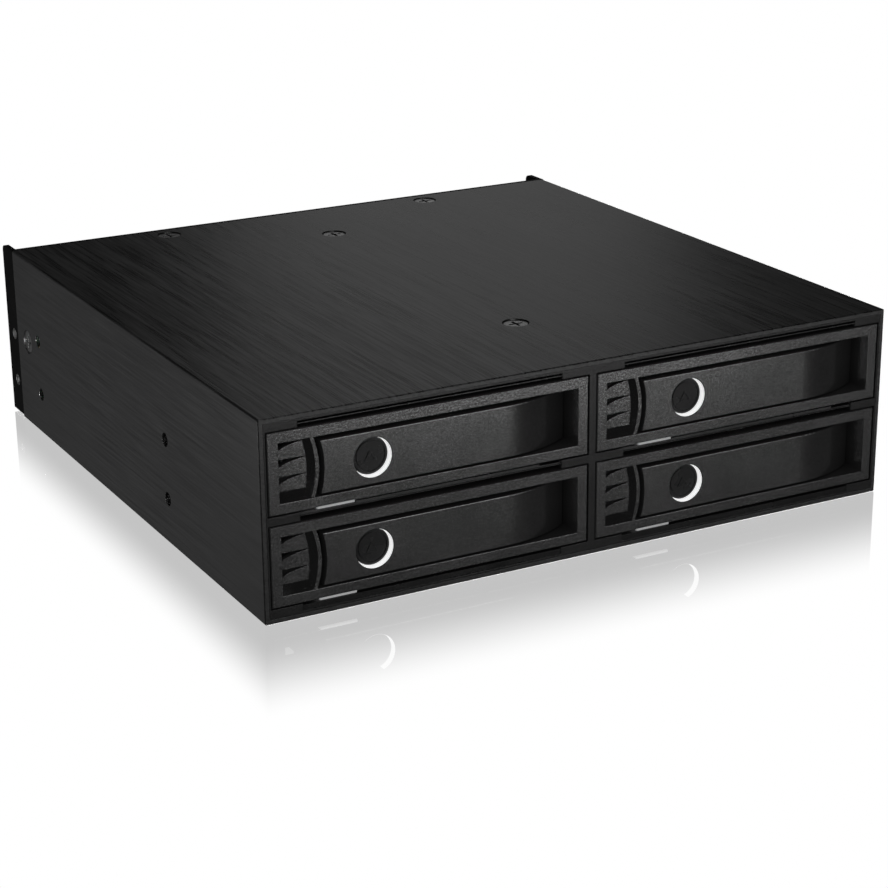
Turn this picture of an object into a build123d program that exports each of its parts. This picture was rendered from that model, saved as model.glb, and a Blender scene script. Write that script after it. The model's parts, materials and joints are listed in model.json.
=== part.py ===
"""Four-tray 2.5-inch drive enclosure for one half-height 5.25-inch bay.

Frame: +X to the right seen from the front, +Y to the rear, +Z up.
Origin: centre of the footprint, on the underside.  Millimetres.
Depths run rearwards from the front plane.  In a tray, "across" runs from the left
edge of its front, and "up" from its underside.  A span is a pair (low, high).
"""
from build123d import *
import os
from math import cos, radians, sin

os.makedirs("parts", exist_ok=True)
CUT = Mode.SUBTRACT

# ---------------------------------------------------------------- driving dimensions
WIDTH, HEIGHT, DEPTH = 146.0, 41.5, 142.0    # housing
EAR = 7.2                        # rear ears beyond the housing
WALL = 1.0                       # housing wall
FRONT = -(DEPTH + EAR) / 2       # Y of the front plane
INNER_X = WIDTH / 2 - WALL       # inner half width of the shell
CEILING = HEIGHT - WALL          # inner face of the shell's top
OVER = 1.0                       # how far cuts run past a face

FRAME_DEPTH = 12.0               # front frame
SLOT_X = (6.4, 64.15)            # air slots above and below each tray, across
TONGUE_GAP = 0.1                 # guide tongue inside its air slot, each side
DIVIDER_HALF = 0.7               # half thickness of the centre divider
GUIDE_END = 120.0                # rear end of the guides
RAIL_X = (6.3, 64.2)             # facing edges of a left tray's outer and inner rails, across
SHELF_RAIL_Z = (20.0, 22.05)
SHELF_Z = (20.75, 21.15)         # shelf sheet
SHELF_TONGUE_Z = (20.95, 21.7)

BEZEL_W, BEZEL_H, BEZEL_DEPTH = 70.3, 16.65, 10.4
BEZEL_BACK = 9.0                 # depth at which the tray front's back wall starts
TRAY_INSET = 1.05                # tray front to the middle of the housing
TRAY_X = (-TRAY_INSET - BEZEL_W, TRAY_INSET)    # left edge of the tray fronts
TRAY_Z = (3.1, 21.9)             # underside of the tray fronts
TRAYS = {
    f"{level}_{column}": (left, base)
    for column, left in zip(("left", "right"), TRAY_X)
    for level, base in zip(("lower", "upper"), TRAY_Z)
}
COLUMNS = tuple(zip(TRAY_X, (-1, 1)))           # left edge, side of the housing

PLATE_T = 1.0                    # carrier plate
PLATE_Z = 0.2                    # its underside, up
PIPE_X = (10.0, 18.0)            # light pipe, across
PIPE_T = 0.42
PIPE_CLEAR = 0.15

BOARD_FRONT, BOARD_T = 121.0, 1.6               # backplane board
BOARD_REAR = BOARD_FRONT + BOARD_T
PANEL_T = 1.2                    # rear panel
PANEL_REAR = DEPTH + PANEL_T
FAN_X, FAN_Z, FAN = 45.0, 20.75, 35.0           # fan centre and side length
FAN_FRONT = DEPTH - 10.0

REAR_SCREWS = ((-35.0, 137.5), (35.0, 137.5))   # (X, depth), top and bottom alike
CENTER_SCREWS = ((0.0, 118.3), (0.0, 30.8))
SIDE_SCREW = (135.0, 20.9)       # depth, Z
SIDE_HOLE_DEPTHS = (48.0, 48.0 + 79.25)
SIDE_HOLE_Z = (10.0, 23.0)
SIDE_HOLE_R = 1.5
EAR_HOLES = ((144.7, 20.4), (144.7, 8.8))       # depth, Z
STANDOFFS = ((-67.0, 14.0), (67.0, 14.0), (-67.0, 33.5), (67.0, 33.5))   # X, Z
FAN_SCREWS = [(FAN_X + dx, FAN_Z + dz) for dx in (-14.5, 14.5) for dz in (-14.5, 14.5)]
TAPPED = dict(radius=1.5, counter_sink_radius=2.0)    # holes the housing screws run into

DATA_PORTS_X, DATA_PORTS_Z = (-60.0, -44.0, -28.0, -12.0), 28.5
POWER_PORTS_X, POWER_PORTS_Z = (-50.0, -20.0), 13.0


# ---------------------------------------------------------------- helpers
def around(middle, half):
    """Span centred on middle."""
    return middle - half, middle + half


def moved(start, span, grow=0.0):
    """Span measured from start, grown at both ends."""
    return start + span[0] - grow, start + span[1] + grow


def upright(depth):
    """Vertical plane at a depth, seen from the front: local x = X, local y = Z."""
    return Plane.XZ.offset(-(FRONT + depth))


def block(x, depth, z, mode=Mode.ADD):
    """Box filling three spans."""
    with Locations((x[0], FRONT + depth[0], z[0])):
        Box(
            x[1] - x[0], depth[1] - depth[0], z[1] - z[0],
            align=(Align.MIN, Align.MIN, Align.MIN), mode=mode,
        )


def rod(x, z, radius, depth, mode=Mode.ADD):
    """Cylinder running front to back over a span of depths."""
    with Locations(Location((x, FRONT + depth[0], z), (-90, 0, 0))):
        Cylinder(
            radius, depth[1] - depth[0], align=(Align.CENTER, Align.CENTER, Align.MIN), mode=mode
        )


def post(x, depth, radius, z, mode=Mode.ADD):
    """Upright cylinder over a span of heights."""
    with Locations((x, FRONT + depth, z[0])):
        Cylinder(radius, z[1] - z[0], align=(Align.CENTER, Align.CENTER, Align.MIN), mode=mode)


def top_locs(screws, inset=0.0):
    """Places on the top, or inset below it, with z pointing up."""
    return [Location((x, FRONT + depth, HEIGHT - inset)) for x, depth in screws]


def bottom_locs(screws, inset=0.0):
    """Places on the underside, or inset above it, with z pointing down."""
    return [Location((x, FRONT + depth, inset), (180, 0, 0)) for x, depth in screws]


def side_loc(side, depth, z, x=WIDTH / 2):
    """Place on the left (-1) or right (1) side, with z pointing outwards."""
    return Location((side * x, FRONT + depth, z), (0, side * 90, 0))


def save(name, part):
    part.label = name
    export_step(part, f"parts/{name}.step")


HOUSING_SCREWS = REAR_SCREWS + CENTER_SCREWS
TOP_LOCS = top_locs(HOUSING_SCREWS)
BOTTOM_LOCS = bottom_locs(HOUSING_SCREWS)
SIDE_LOCS = [side_loc(side, *SIDE_SCREW) for side in (-1, 1)]

# ================================================================ chassis
# ---- outer shell: extruded rectangular tube
SHELL_EDGE_R = 0.45
RIM_BAND = 0.6                   # front edges this close to the outside are chamfered
with BuildPart() as outer_shell:
    with BuildSketch(upright(0)):
        with Locations((0, HEIGHT / 2)):
            RectangleRounded(WIDTH, HEIGHT, SHELL_EDGE_R)
            Rectangle(WIDTH - 2 * WALL, HEIGHT - 2 * WALL, mode=CUT)
    extrude(amount=-DEPTH)
    front_rim = outer_shell.edges().filter_by(Plane.XZ).group_by(Axis.Y)[0]
    outer_rim = front_rim.filter_by(
        lambda e: abs(e.center().X) > WIDTH / 2 - RIM_BAND
        or e.center().Z < RIM_BAND
        or e.center().Z > HEIGHT - RIM_BAND
    )
    chamfer(outer_rim, 0.2)
    with Locations(*TOP_LOCS, *BOTTOM_LOCS, *SIDE_LOCS):
        CounterSinkHole(radius=1.9, counter_sink_radius=2.9, depth=WALL + 0.1)
    for side in (-1, 1):
        with Locations(*[
            side_loc(side, depth, z) for depth in SIDE_HOLE_DEPTHS for z in SIDE_HOLE_Z
        ]):
            Hole(radius=SIDE_HOLE_R, depth=WALL + 0.5)
save("outer_shell", outer_shell.part)

# ---- front frame: four openings, a centre upright, air slots in the cross bars
MULLION = 1.6                    # centre upright
SIDE_BAR = 0.4
TRAY_GAP = 0.2                   # above and below each tray front
FRAME_SLOTS_Z = ((1.5, 4.0), (19.0, 22.5), (38.0, 40.0))
THROUGH_FRAME = (-OVER, FRAME_DEPTH + OVER)
with BuildPart() as front_frame:
    block((-INNER_X, INNER_X), (0.0, FRAME_DEPTH), (WALL, CEILING))
    for left, side in COLUMNS:
        opening = sorted((side * MULLION / 2, side * (INNER_X - SIDE_BAR)))
        for base in TRAY_Z:
            block(opening, THROUGH_FRAME, moved(base, (0, BEZEL_H), TRAY_GAP), CUT)
        for slot_z in FRAME_SLOTS_Z:
            block(moved(left, SLOT_X), THROUGH_FRAME, slot_z, CUT)
save("front_frame", front_frame.part)

# ---- centre divider: upright sheet with threaded blocks for the centre screws
DIVIDER_END = 120.5
DIVIDER_HOLE_R = 3.0
with BuildPart() as center_divider:
    block(around(0, DIVIDER_HALF), (FRAME_DEPTH, DIVIDER_END), (WALL, CEILING))
    for x, depth in CENTER_SCREWS:
        nut_depth = (depth - 3.0, min(depth + 3.5, DIVIDER_END))
        block(around(x, 3.4), nut_depth, (CEILING - 2.3, CEILING))
        block(around(x, 3.4), nut_depth, (WALL, WALL + 2.2))
    with Locations(*top_locs(CENTER_SCREWS, WALL), *bottom_locs(CENTER_SCREWS, WALL)):
        CounterSinkHole(**TAPPED, depth=4.0)
    for depth in (20.0, 60.0, 100.0):
        for z in (11.0, 30.0):
            with Locations(Location((0, FRONT + depth, z), (0, 90, 0))):
                Cylinder(DIVIDER_HOLE_R, 4, mode=CUT)
save("center_divider", center_divider.part)

# ---- guides
TONGUE_END = FRAME_DEPTH + 2.0   # rear end of a tongue
WEB_HOLE = (4.0, 16.0)           # width and length
WEB_HOLE_DEPTHS = (30.0, 54.0, 78.0, 102.0)
WEB_HOLE_X = (-20.0, -10.0, 0.0, 10.0, 20.0)    # from the middle of the tray


def guide(left, side, rail_z, web_z, tongue_front, tongue_z):
    """Sheet with two side rails under or over one column of trays.

    The sheet's front tongue lies in the air slot of the front frame.
    """
    if side < 0:
        left_rail = (-INNER_X, left + RAIL_X[0])
        right_rail = (left + RAIL_X[1], -DIVIDER_HALF)
    else:
        left_rail = (DIVIDER_HALF, left + BEZEL_W - RAIL_X[1])
        right_rail = (left + BEZEL_W - RAIL_X[0], INNER_X)
    length = (FRAME_DEPTH, GUIDE_END)
    block(left_rail, length, rail_z)
    block(right_rail, length, rail_z)
    block((left_rail[0], right_rail[1]), length, web_z)
    block(moved(left, SLOT_X, -TONGUE_GAP), (tongue_front, TONGUE_END), tongue_z)
    with Locations(*[
        (left + BEZEL_W / 2 + dx, FRONT + depth, web_z[0])
        for depth in WEB_HOLE_DEPTHS
        for dx in WEB_HOLE_X
    ]):
        Box(*WEB_HOLE, 4.0, mode=CUT)


def clear_center_screws(z):
    """Room in the guides for the centre divider's threaded blocks."""
    for x, depth in CENTER_SCREWS:
        block(around(x, 3.9), (depth - 3.5, depth + 4.0), z, CUT)


def make_shelf(left, side):
    """Guide between the upper and lower trays."""
    with BuildPart() as shelf:
        guide(left, side, SHELF_RAIL_Z, SHELF_Z, 0.3, SHELF_TONGUE_Z)
        # fine lip along the front edge
        block(moved(left, SLOT_X, -TONGUE_GAP), (0.05, 0.6), (20.95, 21.08))
        # channel for the light pipe
        pipe_x = moved(left, PIPE_X, PIPE_CLEAR)
        block(pipe_x, (-OVER, FRAME_DEPTH + 3.0), (21.4, 22.0), CUT)
        # small air slot
        block(moved(left, (59.15, 63.9)), (-OVER, 5.0), (21.3, 22.0), CUT)
        # notch at the front side hole
        notch_x = sorted((side * INNER_X, side * (INNER_X - 2.6)))
        block(notch_x, around(SIDE_HOLE_DEPTHS[0], 3), (19, 23), CUT)
    return shelf.part


for name, column in zip(("left_shelf", "right_shelf"), COLUMNS):
    save(name, make_shelf(*column))

# over the upper trays
CEILING_WEB_Z = (39.35, 39.55)
with BuildPart() as ceiling_guides:
    for left, side in COLUMNS:
        guide(left, side, (38.75, CEILING), CEILING_WEB_Z, 0.15, CEILING_WEB_Z)
    clear_center_screws((38, HEIGHT))
save("ceiling_guides", ceiling_guides.part)

# under the lower trays, with the tongues stepped up over the frame's bottom bar
FLOOR_WEB_Z = (WALL, 1.4)
FLOOR_TONGUE_Z = (1.5, 2.6)
with BuildPart() as floor_guides:
    for left, side in COLUMNS:
        guide(left, side, (WALL, 3.25), FLOOR_WEB_Z, 0.3, FLOOR_WEB_Z)
    block((-INNER_X, INNER_X), (0, FRAME_DEPTH), (0, 5), CUT)
    for left in TRAY_X:
        tongue_x = moved(left, SLOT_X, -TONGUE_GAP)
        block(tongue_x, (0.12, TONGUE_END), FLOOR_TONGUE_Z)
        block(tongue_x, (FRAME_DEPTH, TONGUE_END), (WALL, FLOOR_TONGUE_Z[1]))
    clear_center_screws((0, 4))
save("floor_guides", floor_guides.part)

# ---- backplane board with air openings
STANDOFF_BORE = 1.3
with BuildPart() as backplane_board:
    with BuildSketch(upright(BOARD_FRONT)):
        with Locations((0, HEIGHT / 2)):
            RectangleRounded(143.0, 38.3, 1.0)
        for left, base in TRAYS.values():
            with Locations((left + BEZEL_W / 2 - 2.0, base + 12.0)):
                SlotOverall(44.0, 5.0, mode=CUT)
        with Locations(*STANDOFFS):
            Circle(STANDOFF_BORE, mode=CUT)
    extrude(amount=-BOARD_T)
save("backplane_board", backplane_board.part)

# ---- one 22-contact drive socket for each tray: body, cavity, two contact tongues
SOCKET_DX = 13.4                 # socket to the right of the tray's centre line
SOCKET_LIFT = 0.7                # above the carrier plate
SOCKET_TONGUES = ((-16.7, 5.2), (6.8, 16.7))
with BuildPart() as drive_sockets:
    for left, base in TRAYS.values():
        middle = left + BEZEL_W / 2 + SOCKET_DX
        bottom = base + PLATE_Z + PLATE_T + SOCKET_LIFT
        block(around(middle, 20.8), (113.0, BOARD_FRONT), (bottom, bottom + 5.6))
        block(around(middle, 17.6), (112.0, 119.0), moved(bottom, (1.6, 4.0)), CUT)
        for tongue in SOCKET_TONGUES:
            block(moved(middle, tongue), (112.2, 119.5), moved(bottom, (2.2, 3.4)))
save("drive_sockets", drive_sockets.part)


# ---- cable ports on the rear face of the board
def make_ports(port_xs, port_z, body, cavity, tongue_x, tongue_z):
    """Row of ports; body and cavity are (half width, half height), the tongue two spans."""
    with BuildPart() as ports:
        for x in port_xs:
            body_depth = moved(BOARD_REAR, (0, 8.5))
            cavity_depth = moved(BOARD_REAR, (2.0, 9.0))
            tongue_depth = moved(BOARD_REAR, (1.5, 8.0))
            block(around(x, body[0]), body_depth, around(port_z, body[1]))
            block(around(x, cavity[0]), cavity_depth, around(port_z, cavity[1]), CUT)
            block(moved(x, tongue_x), tongue_depth, moved(port_z, tongue_z))
    return ports.part


save("data_ports", make_ports(
    DATA_PORTS_X, DATA_PORTS_Z,
    body=(7.2, 2.6), cavity=(6.0, 1.6), tongue_x=(-4.9, 4.0), tongue_z=(-0.5, 0.6),
))
save("power_ports", make_ports(
    POWER_PORTS_X, POWER_PORTS_Z,
    body=(12.5, 2.9), cavity=(11.3, 1.8), tongue_x=(-10.2, 9.4), tongue_z=(-0.6, 0.6),
))

# ---- chips, coils, capacitors and the fan header on the rear face of the board
FLAT_COMPONENTS = (              # X, Z, width, height, thickness
    (30.0, 29.0, 7.0, 7.0, 1.1), (45.0, 22.0, 9.0, 9.0, 1.2), (58.0, 30.0, 5.0, 4.0, 1.0),
    (20.0, 13.0, 6.2, 5.0, 1.6), (20.0, 24.0, 6.0, 6.0, 3.0), (32.0, 9.0, 6.0, 6.0, 3.0),
    (56.0, 10.0, 3.2, 1.6, 0.8), (50.0, 34.0, 3.2, 1.6, 0.8), (40.0, 36.0, 3.2, 1.6, 0.8),
)
CAPACITORS = ((8.0, 10.0), (8.0, 30.0), (62.0, 22.0))   # X, Z
HEADER_X, HEADER_Z, HEADER_T = 20.0, 35.0, 5.0
with BuildPart() as board_components:
    for x, z, width, height, thickness in FLAT_COMPONENTS:
        block(around(x, width / 2), moved(BOARD_REAR, (0, thickness)), around(z, height / 2))
    for x, z in CAPACITORS:
        rod(x, z, 3.1, moved(BOARD_REAR, (0, 5.6)))
    block(around(HEADER_X, 3.5), moved(BOARD_REAR, (0, HEADER_T)), around(HEADER_Z, 2.0))
save("board_components", board_components.part)

# ---- light emitters on the front face of the board, two behind each light pipe
with BuildPart() as status_leds:
    for left, base in TRAYS.values():
        for dx in (-2.1, 2.1):
            led_x = around(left + sum(PIPE_X) / 2 + dx, 1.0)
            block(led_x, (120.0, BOARD_FRONT), around(base + PLATE_Z - PIPE_T / 2, 0.6))
save("status_leds", status_leds.part)

# ---- hexagonal standoffs between board and rear panel
with BuildPart() as board_standoffs:
    with BuildSketch(upright(BOARD_REAR)):
        with Locations(*STANDOFFS):
            RegularPolygon(2.6, 6)
            Circle(STANDOFF_BORE, mode=CUT)
    extrude(amount=-(DEPTH - BOARD_REAR))
save("board_standoffs", board_standoffs.part)


# ---- screws of board, rear panel and fan
def flat_head_screw(x, z, head_r, head, shank_r, shank, cross, recess):
    """Cross-recessed screw along Y; head, shank and recess are spans of depth.

    cross is the length and width of one bar of the recess.
    """
    rod(x, z, head_r, head)
    rod(x, z, shank_r, shank)
    for width, height in (cross, cross[::-1]):
        block(around(x, width / 2), recess, around(z, height / 2), CUT)


BOARD_SCREW = dict(head_r=2.3, shank_r=1.22, cross=(2.6, 0.55))
with BuildPart() as board_screws:
    for x, z in STANDOFFS:
        flat_head_screw(
            x, z, head=(BOARD_FRONT - 1.5, BOARD_FRONT), shank=moved(BOARD_FRONT, (-0.5, 7.0)),
            recess=moved(BOARD_FRONT, (-2, -0.8)), **BOARD_SCREW,
        )
        flat_head_screw(
            x, z, head=moved(PANEL_REAR, (0, 1.5)), shank=(DEPTH - 5.0, PANEL_REAR + 0.5),
            recess=moved(PANEL_REAR, (0.8, 2)), **BOARD_SCREW,
        )
save("board_screws", board_screws.part)

with BuildPart() as fan_screws:
    for x, z in FAN_SCREWS:
        flat_head_screw(
            x, z, head_r=2.6, head=moved(PANEL_REAR, (0, 1.6)),
            shank_r=1.4, shank=(DEPTH - 8.0, PANEL_REAR + 0.5),
            cross=(3.0, 0.6), recess=moved(PANEL_REAR, (0.7, 2)),
        )
save("fan_screws", fan_screws.part)

# ---- rear panel: sheet, tabs folded forward for the screws, side ears folded back
PANEL_BOTTOM = 0.65
THROUGH_PANEL = (DEPTH - OVER, DEPTH + 3)
FAN_VENTS = ((3.6, 5), (7.6, 10), (11.6, 16), (15.2, 22))   # ring radius, number of holes
FAN_HOLE_R = 1.5
TAB_HALF = 5.0
with BuildPart() as rear_panel:
    block((-WIDTH / 2, WIDTH / 2), (DEPTH, PANEL_REAR), (PANEL_BOTTOM, HEIGHT))
    for side in (-1, 1):
        with BuildSketch(
            Plane(origin=(side * WIDTH / 2, FRONT, 0), x_dir=(0, 1, 0), z_dir=(1, 0, 0))
        ):
            with Locations((DEPTH + EAR / 2, (HEIGHT + PANEL_BOTTOM) / 2)):
                ear = Rectangle(EAR, HEIGHT - PANEL_BOTTOM)
            fillet(ear.vertices().group_by(Axis.Y)[-1], 1.3)
        extrude(amount=-side * PANEL_T)
        with Locations(*[side_loc(side, depth, z) for depth, z in EAR_HOLES]):
            Hole(radius=1.35, depth=PANEL_T + 0.5)
        # tab for the side screw
        tab_x = sorted((side * (INNER_X - PANEL_T), side * INNER_X))
        block(tab_x, (130.0, DEPTH), around(SIDE_SCREW[1], TAB_HALF))
        with Locations(side_loc(side, *SIDE_SCREW, x=INNER_X)):
            CounterSinkHole(**TAPPED, depth=3.0)
    # tabs for the top and bottom screws
    for x, _ in REAR_SCREWS:
        block(around(x, TAB_HALF), (132.5, DEPTH), (CEILING - PANEL_T, CEILING))
        block(around(x, TAB_HALF), (132.5, DEPTH), (WALL, WALL + PANEL_T))
    with Locations(*top_locs(REAR_SCREWS, WALL), *bottom_locs(REAR_SCREWS, WALL)):
        CounterSinkHole(**TAPPED, depth=3.0)
    for x in DATA_PORTS_X:
        block(around(x, 7.7), THROUGH_PANEL, around(DATA_PORTS_Z, 3.4), CUT)
    for x in POWER_PORTS_X:
        block(around(x, 13.0), THROUGH_PANEL, around(POWER_PORTS_Z, 3.6), CUT)
    for ring_r, count in FAN_VENTS:
        fan_center = Location((FAN_X, FRONT + THROUGH_PANEL[0], FAN_Z), (-90, 0, 0))
        spots = [spot.position for spot in PolarLocations(ring_r, count).locations]
        with Locations(*[fan_center * Location((spot.X, spot.Y, 0)) for spot in spots]):
            Cylinder(1.35, 4, align=(Align.CENTER, Align.CENTER, Align.MIN), mode=CUT)
    for x, z in FAN_SCREWS:
        rod(x, z, FAN_HOLE_R, THROUGH_PANEL, CUT)
    for x, z in STANDOFFS:
        rod(x, z, STANDOFF_BORE, THROUGH_PANEL, CUT)
save("rear_panel", rear_panel.part)

# ---- fan: square frame with a bearing spider, rotor with seven blades
SPIDER_T = 1.2
BLADES = 7
BLADE_PITCH = 35                 # degrees
with BuildPart() as fan_frame:
    with BuildSketch(upright(FAN_FRONT)):
        with Locations((FAN_X, FAN_Z)):
            RectangleRounded(FAN, FAN, 2.5)
            Circle(16.4, mode=CUT)
            with GridLocations(29.0, 29.0, 2, 2):
                Circle(FAN_HOLE_R, mode=CUT)
    extrude(amount=-(DEPTH - FAN_FRONT))
    with BuildSketch(upright(DEPTH - SPIDER_T)):
        with Locations((FAN_X, FAN_Z)):
            Circle(8.4)
            with PolarLocations(12.4, 4, start_angle=45):
                Rectangle(9.0, 1.6)
            Circle(1.05, mode=CUT)
    extrude(amount=-SPIDER_T)
save("fan_frame", fan_frame.part)

with BuildPart() as fan_rotor:
    hub_end = DEPTH - 1.6
    rod(FAN_X, FAN_Z, 8.3, (FAN_FRONT + 0.6, hub_end))
    rod(FAN_X, FAN_Z, 1.0, (hub_end, DEPTH - 0.2))
    blade_y = FRONT + (FAN_FRONT + DEPTH) / 2 - 0.5
    for blade in range(BLADES):
        spoke = Location((FAN_X, blade_y, FAN_Z), (0, 360 / BLADES * blade, 0))
        with Locations(spoke * Location((11.8, 0, 0), (BLADE_PITCH, 0, 0))):
            Box(7.6, 1.0, 9.0)
save("fan_rotor", fan_rotor.part)

# ---- cable from the fan's left side to the fan header
CABLE_START = (FAN_X - FAN / 2 - 0.1, FRONT + 136.0, 35.0)
with BuildPart() as fan_cable:
    with BuildLine():
        Spline(
            CABLE_START,
            (24.0, FRONT + 134.5, 35.6),
            (20.2, FRONT + 131.5, 35.2),
            (HEADER_X, FRONT + BOARD_REAR + HEADER_T + 0.05, HEADER_Z),
            tangents=((-1, 0, 0), (0, -1, 0)),
        )
    with BuildSketch(Plane(origin=CABLE_START, z_dir=(-1, 0, 0))):
        Circle(1.1)
    sweep()
save("fan_cable", fan_cable.part)


# ---- countersunk cross-recessed screws of the housing
def make_housing_screws(locs, length):
    """Screws at places whose z axis points out of the head."""
    high = (Align.CENTER, Align.CENTER, Align.MAX)
    low = (Align.CENTER, Align.CENTER, Align.MIN)
    with BuildPart() as screws:
        for loc in locs:
            # heads sit a little below the housing's surface
            with Locations(loc):
                with Locations((0, 0, -0.25)):
                    with Locations(Location((0, 0, 0), (180, 0, 0))):
                        Cone(2.6, 1.45, 1.2, align=low)
                        Cylinder(1.45, length, align=low)
                    for turn in (0, 90):
                        with Locations(Location((0, 0, 0), (0, 0, turn))):
                            Box(3.3, 0.62, 0.55, align=high, mode=CUT)
                            Box(2.0, 0.62, 1.0, align=high, mode=CUT)
    return screws.part


save("top_screws", make_housing_screws(TOP_LOCS, 2.75))
save("bottom_screws", make_housing_screws(BOTTOM_LOCS, 2.75))
save("side_screws", make_housing_screws(SIDE_LOCS, 2.6))

# ================================================================ trays
OPEN_X = (2.35, 67.95)           # opening in a tray front, across
OPEN_Z = (2.25, 14.3)            # and up
MID_Z = 8.27                     # mid height of the opening, up

LOUVRES = ((1.75, 3.4), (5.15, 6.8), (8.5, 9.8))   # left end: top, bottom below the opening's top
LOUVRE_X = (2.2, 8.3)            # blade ends, across
LOUVRE_FRONT, LOUVRE_T = 0.35, 1.1
LOUVRE_RISE = 1.6                # rise of the upper edge from left to right

LEVER_Z = (2.45, 13.45)          # up
LEVER_FRONT = 0.25               # depth of the lever's face
LEVER_T = 2.2                    # lever skin
LEVER_BACK = LEVER_FRONT + LEVER_T
LEVER_START = 10.0               # left end before the concave cut, across
BEND_START, BEND_END = (51.4, LEVER_FRONT), (67.4, 5.0)   # across, depth
KNUCKLE_R = 2.0
PIN_X, PIN_DEPTH, PIN_R = 64.9, 6.0, 0.75
PIN_CLEAR = 0.05

BUTTON_X, BUTTON_Z = 22.1, 8.0   # button centre, across and up
BUTTON_R, BUTTON_BORE = 3.87, 4.08
BUTTON_FRONT = 1.4               # depth of the button's face
RING_TOP, RING_SWEEP = 69.0, 198.0   # ring: upper end above +X, and its sweep, degrees

PLATE_END = 112.0                # rear end of the carrier
DRIVE_REAR = 111.75              # rear end of a fitted drive
DRIVE_HOLE_X, DRIVE_HOLE_PITCH = 61.72, 76.6    # spacing across and front to back
DRIVE_HOLE_DEPTH = DRIVE_REAR - 14.0            # rear pair


def make_bezel(left, base):
    """Open box with louvred scoop and a curved wall at the left of the lever."""
    bottom, top = moved(base, OPEN_Z)
    middle = base + MID_Z
    with BuildPart() as bezel:
        block(moved(left, (0, BEZEL_W)), (0, BEZEL_DEPTH), moved(base, (0, BEZEL_H)))
        block(moved(left, OPEN_X), (-OVER, BEZEL_BACK), (bottom, top), CUT)
        front = bezel.faces().sort_by(Axis.Y)[0]
        chamfer(front.outer_wire().edges(), 0.2)
        fillet(front.inner_wires()[0].edges(), 0.1)
        # louvre blades: each with its upper edge swept down to the left
        start, end = moved(left, LOUVRE_X)
        for drop_top, drop_bottom in LOUVRES:
            blade_top, blade_bottom = top - drop_top, top - drop_bottom
            with BuildSketch(upright(LOUVRE_FRONT)):
                with BuildLine():
                    Polyline(
                        (end, blade_top + LOUVRE_RISE), (end, blade_bottom),
                        (start, blade_bottom), (start, blade_top),
                    )
                    Spline(
                        (start, blade_top), (left + 4.9, blade_top + 0.68 * LOUVRE_RISE),
                        (end, blade_top + LOUVRE_RISE), tangents=((1, 0.75), (1, 0.1)),
                    )
                make_face()
            extrude(amount=-LOUVRE_T)
        # curved trim of the blades' right ends
        with BuildSketch(upright(LOUVRE_FRONT)):
            with BuildLine():
                trim = ThreePointArc(
                    (left + 7.3, bottom - 0.1), (left + 8.2, middle), (left + 7.3, top - 0.01)
                )
                Polyline(
                    trim @ 1, (left + 8.6, top - 0.01), (left + 8.6, bottom - 0.1), trim @ 0
                )
            make_face()
        extrude(amount=-LOUVRE_T, mode=CUT)
        # curved wall
        with BuildSketch(upright(0.3)):
            with BuildLine():
                left_arc, right_arc = [
                    ThreePointArc(
                        (left + tips, bottom - 0.2), (left + crown, middle), (left + tips, top + 0.2)
                    )
                    for tips, crown in ((8.85, 10.0), (9.65, 10.8))
                ]
                Line(left_arc @ 0, right_arc @ 0)
                Line(left_arc @ 1, right_arc @ 1)
            make_face()
        extrude(amount=-6.2)
        # air holes in the back wall
        with BuildSketch(upright(BEZEL_BACK - 0.1)):
            with Locations((left + 6.0, middle)):
                Rectangle(5.5, 9.0)
            with Locations((left + 43.0, middle)):
                with GridLocations(7.0, 5.4, 5, 2):
                    RectangleRounded(5.4, 3.6, 0.8)
        extrude(amount=-2, mode=CUT)
        # notch over the light pipe, hole for the lever pin
        block(
            moved(left, PIPE_X, PIPE_CLEAR), (-OVER, BEZEL_DEPTH + OVER),
            (base - OVER, base + PLATE_Z + 0.05), CUT,
        )
        post(left + PIN_X, PIN_DEPTH, PIN_R + 0.02, (base - OVER, base + 15.6), CUT)
    return bezel.part


def make_carrier(left, base):
    """Flat plate with four countersunk drive holes and air openings."""
    underside = base + PLATE_Z
    middle = left + BEZEL_W / 2
    with BuildPart() as carrier:
        block(
            moved(left, (0, BEZEL_W), -0.15), (BEZEL_DEPTH, PLATE_END),
            (underside, underside + PLATE_T),
        )
        with Locations(*[
            Location((middle + side * DRIVE_HOLE_X / 2, FRONT + depth, underside), (180, 0, 0))
            for side in (-1, 1)
            for depth in (DRIVE_HOLE_DEPTH, DRIVE_HOLE_DEPTH - DRIVE_HOLE_PITCH)
        ]):
            CounterSinkHole(radius=1.65, counter_sink_radius=2.45, depth=PLATE_T + 0.2)
        with Locations(*[
            (middle + dx, FRONT + depth, underside)
            for depth in (38.0, 60.0, 82.0)
            for dx in (-8.0, 4.0, 16.0, 28.0)
        ]):
            Box(5.0, 15.0, 6.0, mode=CUT)
    return carrier.part


def make_light_pipe(left, base):
    """Strip under the carrier, from the front plane to the light emitters."""
    with BuildPart() as light_pipe:
        block(moved(left, PIPE_X), (0.0, 119.6), moved(base + PLATE_Z, (-PIPE_T, 0)))
        tip = light_pipe.faces().sort_by(Axis.Y)[0]
        fillet(tip.edges().filter_by(Axis.Z), 0.25)
    return light_pipe.part


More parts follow.
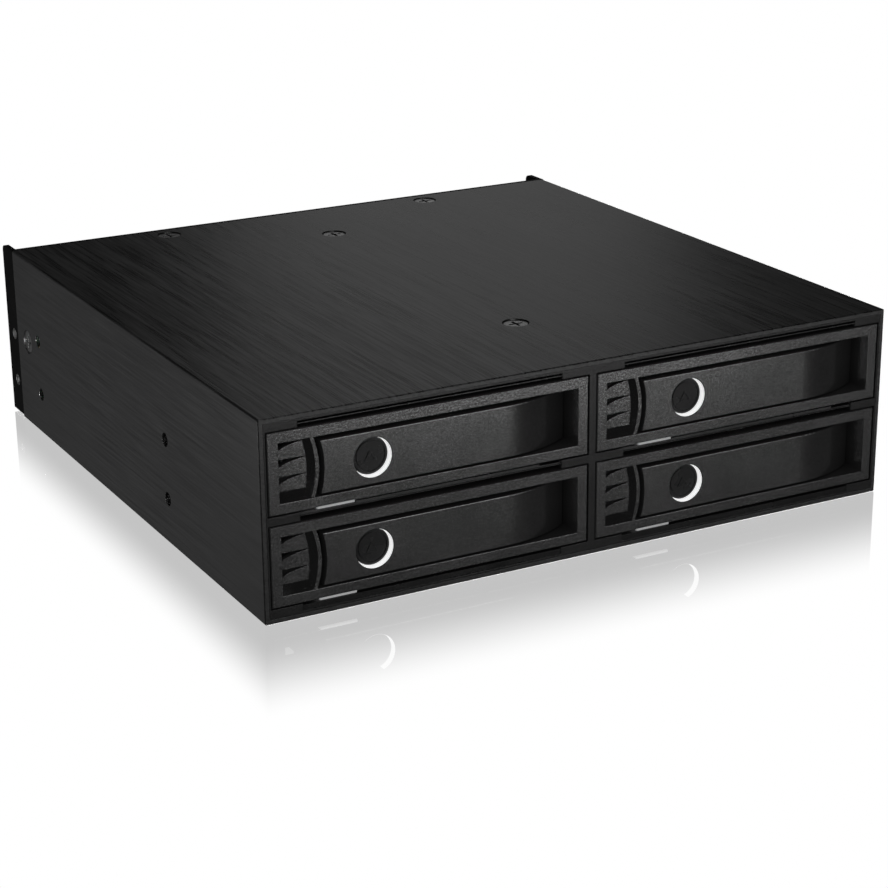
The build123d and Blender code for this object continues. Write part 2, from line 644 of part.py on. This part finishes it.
def make_lever(left, base):
    """Curved handle, hinged at its right end."""
    low, high = moved(base, LEVER_Z)
    bottom, top = moved(base, OPEN_Z)
    button = (left + BUTTON_X, base + BUTTON_Z)
    finger_z = around(base + BUTTON_Z, 2.0)

    def spot(across, depth):
        return left + across, FRONT + depth

    with BuildPart() as lever:
        with BuildSketch(Plane.XY.offset(low)):
            with BuildLine():
                Line(spot(LEVER_START, LEVER_FRONT), spot(*BEND_START))
                TangentArc(spot(*BEND_START), spot(*BEND_END), tangent=(1, 0))
                Polyline(
                    spot(*BEND_END),
                    spot(66.9, 6.2),
                    spot(PIN_X, PIN_DEPTH + KNUCKLE_R),
                    spot(PIN_X - KNUCKLE_R, PIN_DEPTH),
                    spot(58.0, 3.9),
                    spot(50.0, LEVER_BACK),
                    spot(LEVER_START, LEVER_BACK),
                    spot(LEVER_START, LEVER_FRONT),
                )
            make_face()
        extrude(amount=high - low)
        post(left + PIN_X, PIN_DEPTH, KNUCKLE_R, (low, high))
        # concave left end, beside the bezel's curved wall
        with BuildSketch(upright(-1)):
            with BuildLine():
                end = ThreePointArc(
                    (left + 10.6, bottom - 1.0), (left + 11.9, base + 8.1), (left + 10.6, top + 0.7)
                )
                Polyline(end @ 1, (left + 6.0, top + 0.7), (left + 6.0, bottom - 1.0), end @ 0)
            make_face()
        extrude(amount=-9.5, mode=CUT)
        # long front edges at top and bottom, without those of the skin's back
        rims = (
            lever.edges()
            .filter_by_position(Axis.Y, FRONT + 0.0, FRONT + 4.0)
            .filter_by(lambda e: abs(e.center().Z - low) < 0.01 or abs(e.center().Z - high) < 0.01)
            .filter_by(lambda e: e.length > 10)
            .sort_by(Axis.Y)
        )
        fillet([
            e for e in rims
            if e.center().Y < FRONT + 2.2 and abs(e.center().Y - FRONT - LEVER_BACK) > 0.2
        ], 0.3)
        # button housing, hooked finger at the left end, pin bore
        rod(*button, 5.2, (LEVER_FRONT + 1.0, 8.0))
        rod(*button, BUTTON_BORE, (-OVER, 7.0), CUT)
        rod(*button, 1.3, (6.5, 9.0), CUT)
        block(moved(left, (15.0, 16.2)), (2.0, 8.2), finger_z)
        block(moved(left, (14.4, 15.4)), (7.2, 8.2), finger_z)
        post(left + PIN_X, PIN_DEPTH, PIN_R + PIN_CLEAR, (low - OVER, high + OVER), CUT)
    return lever.part


def make_lever_pin(left, base):
    """Hinge pin of the lever."""
    with BuildPart() as lever_pin:
        post(left + PIN_X, PIN_DEPTH, PIN_R, moved(base, (0.4, 15.5)))
        chamfer(lever_pin.edges().filter_by(GeomType.CIRCLE), 0.15)
    return lever_pin.part


def make_button_ring(left, base):
    """Thin partial ring round the right and lower side of the button."""
    center = (left + BUTTON_X, FRONT, base + BUTTON_Z)
    run, rise = cos(radians(RING_TOP)), sin(radians(RING_TOP))
    with BuildPart() as button_ring:
        with BuildSketch(Plane(origin=center, x_dir=(run, 0, rise), z_dir=(-rise, 0, run))):
            with BuildLine():
                Polyline(        # radius, depth
                    (4.04, LEVER_FRONT + 0.02), (4.06, LEVER_FRONT + 0.02),
                    (4.06, 4.1), (3.93, 4.1), (3.93, 0.7),
                    close=True,
                )
            make_face()
        revolve(axis=Axis(center, (0, 1, 0)), revolution_arc=RING_SWEEP)
    return button_ring.part


def make_button(left, base):
    """Release button: fine groove near its edge and a raised triangle outline."""
    center = (left + BUTTON_X, base + BUTTON_Z)
    with BuildPart() as button:
        rod(*center, BUTTON_R, (BUTTON_FRONT, 4.3))
        rim = button.faces().sort_by(Axis.Y)[0]
        chamfer(rim.edges(), 0.22)
        with BuildSketch(upright(BUTTON_FRONT)):
            with Locations(center):
                Circle(3.25)
                Circle(2.95, mode=CUT)
        extrude(amount=-0.18, mode=CUT)
        with BuildSketch(upright(BUTTON_FRONT - 0.12)):
            with Locations(center):
                Triangle(a=2.6, b=2.6, c=2.4, align=(Align.CENTER, Align.CENTER))
                Triangle(a=1.8, b=1.8, c=1.65, align=(Align.CENTER, Align.CENTER), mode=CUT)
        extrude(amount=-0.2)
        # flange and stem
        rod(*center, 4.0, (4.2, 4.9))
        rod(*center, 1.2, (4.8, 7.6))
    return button.part


def make_button_spring(left, base):
    """Two-turn coil behind the button's flange."""
    pitch = 0.82
    start = (left + BUTTON_X, FRONT + 5.13, base + BUTTON_Z)
    with BuildPart() as button_spring:
        with BuildLine():
            coil = Helix(
                pitch=pitch, height=2 * pitch, radius=2.1, center=start, direction=(0, 1, 0)
            )
        with BuildSketch(Plane(origin=coil @ 0, z_dir=coil % 0)):
            Circle(0.2)
        sweep()
    return button_spring.part


def make_latch_clip(left, base):
    """Clip on the back wall, beside the lever's finger: foot, arm and nose."""
    middle = base + BUTTON_Z
    with BuildPart() as latch_clip:
        block(moved(left, (11.0, 14.1)), (8.4, BEZEL_BACK), around(middle, 2.4))
        block(moved(left, (12.9, 13.5)), (3.6, 8.6), around(middle, 1.8))
        block(moved(left, (13.2, 14.1)), (5.4, 6.6), around(middle, 1.8))
    return latch_clip.part


TRAY_PIECES = {
    "bezel": make_bezel,
    "carrier": make_carrier,
    "light_pipe": make_light_pipe,
    "lever": make_lever,
    "lever_pin": make_lever_pin,
    "button_ring": make_button_ring,
    "button": make_button,
    "button_spring": make_button_spring,
    "latch_clip": make_latch_clip,
}

for tray, place in TRAYS.items():
    for piece, make_piece in TRAY_PIECES.items():
        save(f"{tray}_{piece}", make_piece(*place))
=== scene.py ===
# A black enclosure with four trays, two over two, each with a lever and a sprung push button.
# It stands on the floor at z = 0, centred in x and y. The tray fronts face -Y, the right side
# faces +X. Lengths are in metres.
import json
import math
from functools import cached_property

import bmesh
import bpy
from mathutils import Matrix, Vector


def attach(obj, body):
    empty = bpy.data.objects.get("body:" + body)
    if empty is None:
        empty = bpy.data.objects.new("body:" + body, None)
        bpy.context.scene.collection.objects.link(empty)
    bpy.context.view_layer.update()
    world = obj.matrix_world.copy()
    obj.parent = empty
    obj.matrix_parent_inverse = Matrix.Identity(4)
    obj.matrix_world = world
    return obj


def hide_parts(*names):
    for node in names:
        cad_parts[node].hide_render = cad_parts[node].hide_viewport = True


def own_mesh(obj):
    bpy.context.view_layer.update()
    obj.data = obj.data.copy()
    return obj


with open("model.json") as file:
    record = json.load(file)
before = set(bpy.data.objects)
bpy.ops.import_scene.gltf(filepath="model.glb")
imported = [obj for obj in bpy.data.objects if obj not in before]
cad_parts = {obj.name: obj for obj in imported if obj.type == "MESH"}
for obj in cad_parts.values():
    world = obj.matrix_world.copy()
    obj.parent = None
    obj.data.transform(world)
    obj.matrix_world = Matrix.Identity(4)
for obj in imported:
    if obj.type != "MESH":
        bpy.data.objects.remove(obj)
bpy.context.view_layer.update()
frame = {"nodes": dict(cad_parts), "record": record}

NODES = frame["nodes"]
scene = bpy.context.scene

HALF_WIDTH = 0.073   # of the footprint, along x
HALF_DEPTH = 0.0746  # of the footprint, along y


# ------------------------------------------------------------------ node helpers
class Tree:
    """Node tree of a material or world. Numbers and sockets are both taken as inputs."""

    def __init__(self, owner, output="OutputMaterial"):
        owner.use_nodes = True
        self.owner = owner
        self.tree = owner.node_tree
        self.tree.nodes.clear()
        self.output = self.node(output)

    def put(self, node, key, value):
        """Link a socket to an input or set the input's value; colours are given as RGB."""
        socket = node.inputs[key]
        if isinstance(value, bpy.types.NodeSocket):
            self.tree.links.new(value, socket)
        elif socket.type == "RGBA":
            socket.default_value = (*value, 1.0)
        else:
            socket.default_value = value

    def node(self, kind, inputs=None, **props):
        """New node; the inputs are keyed by name or number."""
        node = self.tree.nodes.new("ShaderNode" + kind)
        for key, value in props.items():
            setattr(node, key, value)
        for key, value in (inputs or {}).items():
            self.put(node, key, value)
        return node

    def finish(self, shader):
        self.put(self.output, "Surface", shader)
        return self.owner

    @cached_property
    def coords(self):
        return self.node("TexCoord").outputs["Object"]

    def axes(self, vector):
        return self.node("SeparateXYZ", {0: vector}).outputs

    def geometry(self, field):
        return self.axes(self.node("NewGeometry").outputs[field])

    def math(self, operation, a, b=0.0):
        return self.node("Math", {0: a, 1: b}, operation=operation).outputs[0]

    def stretched(self, scale):
        """Object coordinates times one factor, or one per axis."""
        if not isinstance(scale, tuple):
            scale = (scale,) * 3
        return self.node("Mapping", {"Vector": self.coords, "Scale": scale}).outputs[0]

    def noise(self, scale, detail=2.0, rough=0.5):
        return self.node("TexNoise", {
            "Vector": self.stretched(scale), "Scale": 1.0, "Detail": detail, "Roughness": rough,
        }).outputs["Fac"]

    def voronoi(self, scale, feature):
        vector = self.stretched(scale)
        return self.node("TexVoronoi", {"Vector": vector}, feature=feature).outputs["Distance"]

    def ramp(self, value, span, to, kind="LINEAR"):
        """Map the range span onto the range to."""
        return self.node("MapRange", {
            "Value": value, "From Min": span[0], "From Max": span[1],
            "To Min": to[0], "To Max": to[1],
        }, interpolation_type=kind).outputs[0]

    def grey(self, shade, tint=(1.0, 1.0, 1.0)):
        parts = {i: self.math("MULTIPLY", shade, part) for i, part in enumerate(tint)}
        return self.node("CombineXYZ", parts).outputs[0]

    def mix(self, factor, a, b):
        """Mix two colours; inputs 6 and 7 are the colour sockets of the Mix node."""
        return self.node("Mix", {"Factor": factor, 6: a, 7: b}, data_type="RGBA").outputs[2]

    def mix_shader(self, factor, a, b):
        return self.node("MixShader", {0: factor, 1: a, 2: b}).outputs[0]

    def bump(self, height, distance, strength, normal=None):
        inputs = {"Height": height, "Distance": distance, "Strength": strength}
        if normal is not None:
            inputs["Normal"] = normal
        return self.node("Bump", inputs).outputs[0]

    def edge(self, radius):
        """Normal softened at the edges."""
        return self.node("Bevel", {"Radius": radius}, samples=4).outputs[0]

    def bore_walls(self, ys, zs, radius, beyond_x=None):
        """1 on the walls of bores along x at each y and z, only outside beyond_x, else 0."""
        place = self.axes(self.coords)
        squares = []
        for axis, centres in ((1, ys), (2, zs)):
            gaps = [self.math("ABSOLUTE", self.math("SUBTRACT", place[axis], c)) for c in centres]
            gap = gaps[0] if len(gaps) == 1 else self.math("MINIMUM", *gaps)
            squares.append(self.math("MULTIPLY", gap, gap))
        away = self.math("SQRT", self.math("ADD", *squares))
        inside = self.math("LESS_THAN", away, radius)
        if beyond_x is not None:
            outer = self.math("GREATER_THAN", self.math("ABSOLUTE", place[0]), beyond_x)
            inside = self.math("MULTIPLY", inside, outer)
        # faces square to x are not walls
        facing = self.geometry("True Normal")
        wall = self.math("LESS_THAN", self.math("ABSOLUTE", facing[0]), 0.6)
        return self.math("MULTIPLY", inside, wall)

    def principled(self, **inputs):
        named = {key.replace("_", " "): value for key, value in inputs.items()}
        return self.node("BsdfPrincipled", named).outputs[0]


def new_material(name):
    return Tree(bpy.data.materials.new(name))


# ------------------------------------------------------------------ materials
NOISE = (0.3, 0.7)      # range that most noise values fall in
UNIT = (0.0, 1.0)
WHITE = (1.0, 1.0, 1.0)


def brushed_black(name):
    """Black anodised aluminium with long, fine brush lines running front to back."""
    swing_span = (-0.14, 0.14)  # range of the brush contrast
    upward = (0.3, 0.7)         # normal z, from side faces to the top

    t = new_material(name)
    fine = t.noise((2300, 60, 3600), rough=0.6)
    medium = t.noise((1300, 34, 1700), detail=3.0, rough=0.6)
    wide = t.noise((60, 14, 60))
    patch = t.ramp(t.noise((38, 20, 38)), span=(0.38, 0.62), to=(0.55, 1.0))
    line = t.math("ADD", t.math("MULTIPLY", fine, 0.45), t.math("MULTIPLY", medium, 0.55))
    facing = t.geometry("Normal")
    contrast = t.math("MULTIPLY", patch, t.ramp(facing[2], upward, to=(0.45, 1.5)))
    swing = t.math("MULTIPLY", t.math("SUBTRACT", line, 0.5), contrast)
    shade = t.math(
        "ADD", t.ramp(swing, swing_span, to=(0.002, 0.034)),
        t.ramp(wide, NOISE, to=(-0.0005, 0.001)),
    )
    rough = t.math(
        "ADD", t.ramp(swing, swing_span, to=(0.26, 0.34)),
        t.ramp(wide, NOISE, to=(-0.006, 0.006)),
    )
    # the walls of the cross bores are bare metal
    bare = t.bore_walls(ys=(-0.0266, 0.05265), zs=(0.010, 0.023), radius=0.0018)
    skin = t.principled(
        Base_Color=t.mix(bare, t.grey(shade, tint=(1.0, 1.0, 1.01)), (0.62, 0.62, 0.62)),
        Metallic=bare, Roughness=rough,
        Normal=t.bump(line, distance=0.00006, strength=0.20, normal=t.edge(0.00012)),
        Specular_IOR_Level=t.ramp(swing, swing_span, to=(0.30, 0.80)),
    )
    # painted shade in the brush grooves of the top: a near-black diffuse is mixed in along the
    # grooves, most of all on the top's left half
    place = t.geometry("Position")
    side = t.math(
        "MULTIPLY", t.ramp(facing[2], upward, to=(0.2, 1.0)),
        t.ramp(place[0], span=(-0.04, 0.02), to=(1.0, 0.35)),
    )
    groove_shade_black = t.node("BsdfDiffuse", {"Color": (0.004, 0.004, 0.004)}).outputs[0]
    groove_painted_shade = t.math("MULTIPLY", t.ramp(swing, span=(-0.10, 0.10), to=(0.28, 0.0)), side)
    return t.finish(t.mix_shader(groove_painted_shade, skin, groove_shade_black))


def satin(name, shade, rough, grain, depth, edge, spec=0.5, metal=0.0, painted_glow=0.0,
          up=None, foot=None, rear=None, bores=None):
    """Painted or anodised surface with a fine sparkle grain, slight mottling and soft edges.

    shade and rough are ranges, grain the noise scale, depth the bump height and edge the
    rounding radius. The glow argument is painted light: a faint emission in place of fill
    light. up is painted shade: it scales the shade of upward faces. foot scales the shade of
    the lowest part; rear is painted light, added to the shade of faces turned to +Y. bores holds
    the arguments of bore_walls for walls left as bare metal.
    """
    t = new_material(name)
    sparkle = t.noise(grain, rough=0.65)
    mottle = t.noise(110, detail=3.0, rough=0.55)
    both = t.math("ADD", t.math("MULTIPLY", sparkle, 0.92), t.math("MULTIPLY", mottle, 0.08))
    grey = t.ramp(both, span=(0.38, 0.62), to=shade)
    # painted shade: upward faces are darkened to dull the highlights they catch
    if up is not None:
        facing = t.geometry("Normal")
        grey = t.math("MULTIPLY", grey, t.ramp(facing[2], span=(0.08, 0.45), to=(1.0, up)))
    # painted light: faces turned to +Y are made lighter and shinier, to show up as lit
    if rear is not None:
        rearward = (0.5, 0.9)  # normal y
        facing = t.geometry("Normal")
        grey = t.math("ADD", grey, t.ramp(facing[1], rearward, to=(0.0, rear)))
        spec = t.ramp(facing[1], rearward, to=(spec, 0.5))
    if foot is not None:
        place = t.geometry("Position")
        grey = t.math("MULTIPLY", grey, t.ramp(place[2], span=(0.003, 0.005), to=(foot, 1.0)))
    if bores:
        metal = t.bore_walls(**bores)
        grey = t.math("MAXIMUM", grey, t.math("MULTIPLY", metal, 0.5))
    extra = {}
    if painted_glow:
        # painted light: the glow is a faint emission in place of fill light, and it fades to
        # painted shade in the corners
        open_sky = t.node("AmbientOcclusion", {"Distance": 0.006}, samples=8).outputs["AO"]
        strength = t.math("MULTIPLY", t.math("SQRT", open_sky), painted_glow)
        extra = dict(Emission_Color=WHITE, Emission_Strength=strength)
    return t.finish(t.principled(
        Base_Color=t.grey(grey), Metallic=metal, Roughness=t.ramp(mottle, NOISE, to=rough),
        Normal=t.bump(sparkle, distance=depth, strength=0.6, normal=t.edge(edge)),
        Specular_IOR_Level=spec, Coat_Weight=0.0, Coat_Roughness=0.25, **extra,
    ))


def moulded(name, colour, rough=(0.28, 0.42), spec=0.5, subsurface=0.0, painted_glow=0.0):
    """Moulded plastic: faint flow mottling and a very fine orange-peel surface."""
    t = new_material(name)
    mottle = t.noise(160, detail=3.0)
    peel = t.noise(1400)
    dark = tuple(part * 0.9 for part in colour)
    light = tuple(min(1.0, part * 1.08) for part in colour)
    extra = {}
    if subsurface:
        extra = dict(
            Subsurface_Weight=subsurface, Subsurface_Radius=(0.002, 0.002, 0.002),
            Subsurface_Scale=0.5,
        )
    # painted light: the glow is a faint emission that makes the part glow though it is no lamp
    if painted_glow:
        extra.update(Emission_Strength=painted_glow, Emission_Color=WHITE)
    return t.finish(t.principled(
        Base_Color=t.mix(t.ramp(mottle, NOISE, to=UNIT), dark, light),
        Roughness=t.ramp(mottle, NOISE, to=rough), Specular_IOR_Level=spec,
        Normal=t.bump(peel, distance=0.00001, strength=0.4, normal=t.edge(0.00008)), **extra,
    ))


def plated(name, colour, grain=3000):
    """Bare metal with fine grain or turning lines under a cloudy plating."""
    t = new_material(name)
    lines = t.noise(grain, detail=3.0, rough=0.6)
    cloud = t.noise(240, detail=3.0, rough=0.6)
    dark = tuple(part * 0.82 for part in colour)
    return t.finish(t.principled(
        Base_Color=t.mix(t.ramp(cloud, NOISE, to=UNIT), dark, colour),
        Metallic=1.0, Roughness=t.ramp(lines, NOISE, to=(0.22, 0.38)),
        Normal=t.bump(lines, distance=0.00001, strength=0.4, normal=t.edge(0.0001)),
    ))


def board(name):
    """Green solder mask over faint copper tracks and vias."""
    t = new_material(name)
    track = t.ramp(t.voronoi(260, "DISTANCE_TO_EDGE"), span=(0.02, 0.05), to=(1.0, 0.0))
    via = t.ramp(t.voronoi(420, "F1"), span=(0.10, 0.14), to=(1.0, 0.0))
    mask = t.mix(track, (0.006, 0.06, 0.028), (0.012, 0.115, 0.05))
    return t.finish(t.principled(
        Base_Color=t.mix(via, mask, (0.35, 0.3, 0.16)), Roughness=0.3,
        Normal=t.bump(track, distance=0.00004, strength=0.6), Specular_IOR_Level=0.5,
    ))


PANEL_BORES = dict(ys=(0.0701,), zs=(0.0088, 0.0204), radius=0.0016, beyond_x=0.0712)

# material: its maker and the maker's arguments
# the glow values are painted light on parts that are no lamp; up is painted shade on upward
# faces, rear painted light on faces turned to +Y
LOOKS = {
    "brushed_black": (brushed_black, {}),
    "frame_black": (satin, dict(
        shade=(0.021, 0.038), rough=(0.22, 0.28), grain=2800, depth=0.00001, edge=0.0002,
        metal=1.0, painted_glow=0.004)),
    "guide_black": (satin, dict(
        shade=(0.034, 0.056), rough=(0.22, 0.3), grain=2600, depth=0.00001, edge=0.0001,
        metal=1.0, painted_glow=0.003, foot=0.45)),
    "panel_black": (satin, dict(
        shade=(0.0012, 0.003), rough=(0.42, 0.55), grain=2400, depth=0.00002, edge=0.0001,
        spec=0.06, rear=0.02, bores=PANEL_BORES)),
    "carrier_black": (satin, dict(
        shade=(0.014, 0.026), rough=(0.36, 0.48), grain=1800, depth=0.00001, edge=0.0001)),
    "tray_grey": (satin, dict(
        shade=(0.052, 0.176), rough=(0.172, 0.188), grain=2400, depth=0.000023, edge=0.0001,
        metal=1.0, painted_glow=0.006, up=0.3)),
    "lever_grey": (satin, dict(
        shade=(0.074, 0.156), rough=(0.172, 0.188), grain=2700, depth=0.000012, edge=0.0001,
        metal=1.0, painted_glow=0.006, up=0.18)),
    "screw_black": (satin, dict(
        shade=(0.28, 0.55), rough=(0.26, 0.36), grain=2600, depth=0.00001, edge=0.0001,
        metal=1.0)),
    # the glow on the button, the white ring and the light pipe below is painted light, not a lamp
    "button_black": (moulded, dict(
        colour=(0.010, 0.010, 0.0105), rough=(0.2, 0.3), spec=0.25, painted_glow=0.0015)),
    "clip_black": (moulded, dict(colour=(0.015, 0.015, 0.016))),
    "fan_black": (moulded, dict(colour=(0.012, 0.012, 0.012), rough=(0.35, 0.5))),
    "connector_black": (moulded, dict(colour=(0.014, 0.014, 0.014), rough=(0.35, 0.5))),
    "chip_black": (moulded, dict(colour=(0.02, 0.02, 0.022), rough=(0.4, 0.55))),
    "cable_black": (moulded, dict(colour=(0.01, 0.01, 0.01), rough=(0.45, 0.6))),
    "ring_white": (moulded, dict(colour=(0.95, 0.95, 0.95), rough=(0.15, 0.22), painted_glow=0.75)),
    "light_pipe_white": (moulded, dict(
        colour=(0.72, 0.73, 0.74), rough=(0.2, 0.3), subsurface=0.3, painted_glow=0.17)),
    "emitter_clear": (moulded, dict(
        colour=(0.75, 0.8, 0.72), rough=(0.1, 0.2), subsurface=0.4)),
    "plain_steel": (plated, dict(colour=(0.62, 0.62, 0.63))),
    "plain_brass": (plated, dict(colour=(0.72, 0.55, 0.26), grain=(300, 6000, 300))),
    "board_green": (board, {}),
}
materials = {name: make(name, **look) for name, (make, look) in LOOKS.items()}
slot_of = {part["node"]: part["material_slot"] for part in frame["record"]["subparts"]}
for name, obj in NODES.items():
    obj.data.materials.clear()
    obj.data.materials.append(materials[slot_of[name]])

# ------------------------------------------------------------------ button springs
# each coil sits in its lever
SPRING_X = {"left": -0.04925, "right": 0.02315}
SPRING_Z = {"lower": 0.0111, "upper": 0.0299}

bpy.context.view_layer.update()
for level, z in SPRING_Z.items():
    for side, x in SPRING_X.items():
        tray = f"{level}_{side}"
        spring = NODES[tray + "_button_spring"]
        coil = bpy.data.objects.new(tray + "_coil", spring.data.copy())
        coil.matrix_world = spring.matrix_world.copy()
        scene.collection.objects.link(coil)
        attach(coil, tray + "_handle")
        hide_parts(tray + "_button_spring")
        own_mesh(coil)

# ------------------------------------------------------------------ floor
FADE = (0.003, 0.0200)  # height over which the object's mirror image fades out
MIRROR = 0.46           # its strength at the foot of the object
FLOOR_HALF = 6.0
FLOOR_Z = -0.00005      # just under the object's foot


def floor_white():
    """White floor, seen by the camera only, with a mirror image that fades with height."""
    t = new_material("floor_white")
    geometry = t.node("NewGeometry").outputs
    here = t.axes(geometry["Position"])
    back = t.axes(geometry["Incoming"])
    # where the mirrored ray enters the object's footprint, and how high it is there
    entries, exits = [], []
    for axis, half in enumerate((HALF_WIDTH, HALF_DEPTH)):
        # the small offset avoids a division by zero
        run = t.math("ADD", t.math("MULTIPLY", back[axis], -1.0), 0.00001)
        ends = [
            t.math("DIVIDE", t.math("SUBTRACT", edge, here[axis]), run) for edge in (-half, half)
        ]
        entries.append(t.math("MINIMUM", *ends))
        exits.append(t.math("MAXIMUM", *ends))
    entry = t.math("MAXIMUM", t.math("MAXIMUM", *entries), 0.0)
    hit = t.math("GREATER_THAN", t.math("MINIMUM", *exits), entry)
    height = t.math("MULTIPLY", entry, t.math("MAXIMUM", back[2], 0.0))
    fade = t.ramp(height, FADE, to=(MIRROR, 0.0), kind="SMOOTHSTEP")
    white = t.node("Emission", {"Strength": 1.0}).outputs[0]
    mirror = t.node("BsdfGlossy", {"Roughness": 0.0, "Color": WHITE}).outputs[0]
    seen = t.mix_shader(t.math("MULTIPLY", fade, hit), white, mirror)
    clear = t.node("BsdfTransparent").outputs[0]
    camera_ray = t.node("LightPath").outputs["Is Camera Ray"]
    return t.finish(t.mix_shader(camera_ray, clear, seen))


floor_material = floor_white()
bm = bmesh.new()
bmesh.ops.create_grid(bm, x_segments=2, y_segments=2, size=FLOOR_HALF)
floor_mesh = bpy.data.meshes.new("studio_floor")
bm.to_mesh(floor_mesh)
bm.free()
floor = bpy.data.objects.new("studio_floor", floor_mesh)
floor.location = (0.0, 0.0, FLOOR_Z)
floor.data.materials.append(floor_material)
scene.collection.objects.link(floor)

# ------------------------------------------------------------------ room
# brightness of the room that lights the object
ROOM_LEFT = 0.085  # low at the rear left
ROOM_LOW = 0.05    # low elsewhere
ROOM_HIGH = 0.03   # above the horizon
REAR_LEFT = (-0.62, 0.78, 0.0)


def studio():
    """Dim room for lighting; plain white where the camera or a mirror looks straight at it."""
    world = bpy.data.worlds.new("studio")
    scene.world = world
    t = Tree(world, "OutputWorld")
    direction = t.node("TexCoord").outputs["Generated"]
    toward = t.node("VectorMath", {0: direction, 1: REAR_LEFT}, operation="DOT_PRODUCT")
    low = t.ramp(
        toward.outputs["Value"], span=(0.1, 0.8), to=(ROOM_LOW, ROOM_LEFT), kind="SMOOTHSTEP")
    strength = t.ramp(
        t.axes(direction)[2], span=(-0.15, 0.12), to=(low, ROOM_HIGH), kind="SMOOTHSTEP")
    room = t.node("Background", {"Color": WHITE, "Strength": strength}).outputs[0]
    plain = t.node("Background", {"Color": WHITE, "Strength": 1.0}).outputs[0]
    ray = t.node("LightPath").outputs
    direct = t.math("MAXIMUM", ray["Is Camera Ray"], ray["Is Singular Ray"])
    t.finish(t.mix_shader(direct, room, plain))


studio()

# ------------------------------------------------------------------ lights
AIM_Z = 0.02  # height most lights are aimed at


def bearing(heading, elevation):
    """Unit vector at a heading from +Y towards +X and an elevation, in degrees."""
    a, e = math.radians(heading), math.radians(elevation)
    return Vector((math.sin(a) * math.cos(e), math.cos(a) * math.cos(e), math.sin(e)))


def softbox(name, heading, elevation, distance, size, power, target=(0.0, 0.0, AIM_Z)):
    """Area light at a bearing and distance from its target, aimed at it."""
    aim = Vector(target)
    place = aim + distance * bearing(heading, elevation)
    light = bpy.data.lights.new(name, "AREA")
    light.shape = "RECTANGLE"
    light.size, light.size_y = size
    light.energy = power
    lamp = bpy.data.objects.new(name, light)
    lamp.location = place
    lamp.rotation_euler = (aim - place).to_track_quat("-Z", "Y").to_euler()
    lamp.visible_camera = False
    scene.collection.objects.link(lamp)


# soft key high over the front
softbox("key_front_high", heading=172.0, elevation=62.0, distance=1.8, size=(0.9, 0.9), power=3.8)
# distant and low at the front; its blurred lower and right edges shade the tray fronts
softbox("front_box", heading=154.2, elevation=-6.2, distance=6.0, size=(2.06, 1.98), power=50.0,
        target=(-0.01, -HALF_DEPTH, AIM_Z))
# distant and behind; makes the band on the top
softbox("band_box", heading=28.3, elevation=16.5, distance=6.5, size=(1.30, 2.2), power=2.82,
        target=(-0.2, -0.42, -0.17))
# small panel beside the left wall
softbox("left_panel", heading=270.0, elevation=-6.0, distance=0.15, size=(0.06, 0.04), power=0.19,
        target=(-HALF_WIDTH, 0.018, AIM_Z))
# low fills for the rear and the right side, below the horizon of the top
softbox("rear_box", heading=32.0, elevation=-17.0, distance=3.0, size=(1.4, 1.1), power=70.0,
        target=(0.0, HALF_DEPTH, AIM_Z))
softbox("right_box", heading=70.0, elevation=-17.0, distance=3.0, size=(1.4, 1.1), power=40.0,
        target=(HALF_WIDTH, 0.0, AIM_Z))

# ------------------------------------------------------------------ camera
SENSOR_WIDTH = 36.0  # mm
LENS = 92.4372973    # mm
CAMERA_PLACE = (-0.23098, -0.44151, 0.17820)
CAMERA_HEADING, CAMERA_ELEVATION, CAMERA_ROLL = 28.239, -19.594, -0.575  # degrees

camera_data = bpy.data.cameras.new("camera")
camera_data.sensor_width = SENSOR_WIDTH
camera_data.lens = LENS
camera_data.clip_start, camera_data.clip_end = 0.01, 50.0
camera = bpy.data.objects.new("camera", camera_data)
forward = bearing(CAMERA_HEADING, CAMERA_ELEVATION)
level_right = forward.cross(Vector((0, 0, 1))).normalized()
level_up = level_right.cross(forward)
roll = math.radians(CAMERA_ROLL)
right = math.cos(roll) * level_right + math.sin(roll) * level_up
up = -math.sin(roll) * level_right + math.cos(roll) * level_up
rows = [(right[i], up[i], -forward[i], CAMERA_PLACE[i]) for i in range(3)]
camera.matrix_world = Matrix((*rows, (0, 0, 0, 1)))
scene.collection.objects.link(camera)
scene.camera = camera
scene.view_settings.view_transform = "Standard"
scene.view_settings.look = "None"
